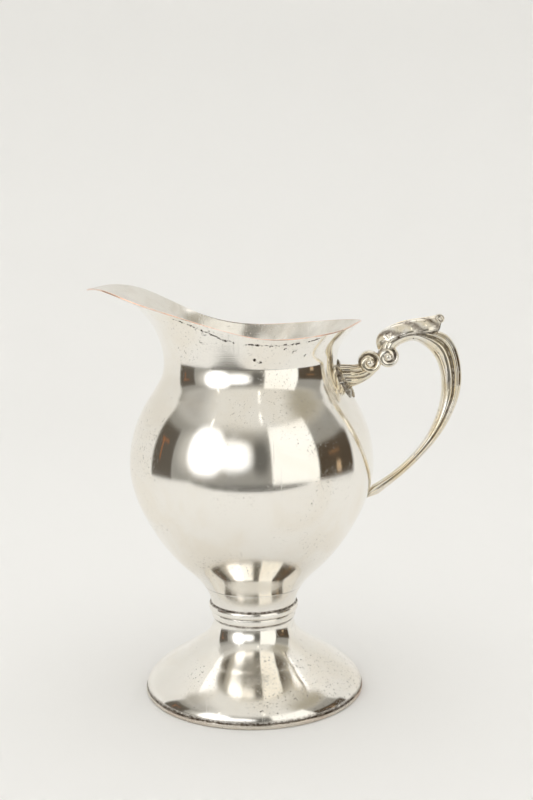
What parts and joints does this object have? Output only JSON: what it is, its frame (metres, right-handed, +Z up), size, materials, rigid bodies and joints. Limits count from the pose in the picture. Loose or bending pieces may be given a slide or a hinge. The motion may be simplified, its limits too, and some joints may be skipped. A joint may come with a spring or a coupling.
{
  "type": "water pitcher",
  "caption": "Footed silver water pitcher: round bulb, pulled wide spout, beaded stem, trumpet foot and a cast scroll handle with a thumb leaf.",
  "frame": {"origin": "centre of the foot's resting ring, on the surface that the pitcher stands on", "axes": "+Z up through the bulb and neck, +X towards the handle, -X towards the spout, Y across"},
  "size_m": [0.2224, 0.147, 0.2479],
  "materials": {
    "silver_sheet": "polished, with fine scratches and faint tarnish",
    "silver_casting": "polished, dark in the hollows",
    "dark_casting": "tarnished, bright on the ridges",
    "worn_edge": "worn through to copper in places"
  },
  "bodies": {
    "root": {"body_shell": "silver_sheet", "stem_collar": "silver_sheet", "upper_bead": "silver_sheet", "lower_bead": "silver_sheet", "foot_shell": "silver_sheet", "foot_rim_wire": "worn_edge", "neck_leaf_plate": "dark_casting", "handle_arm": "silver_casting", "handle_grip": "silver_casting", "thumb_leaf": "silver_casting"}
  },
  "joints": []
}
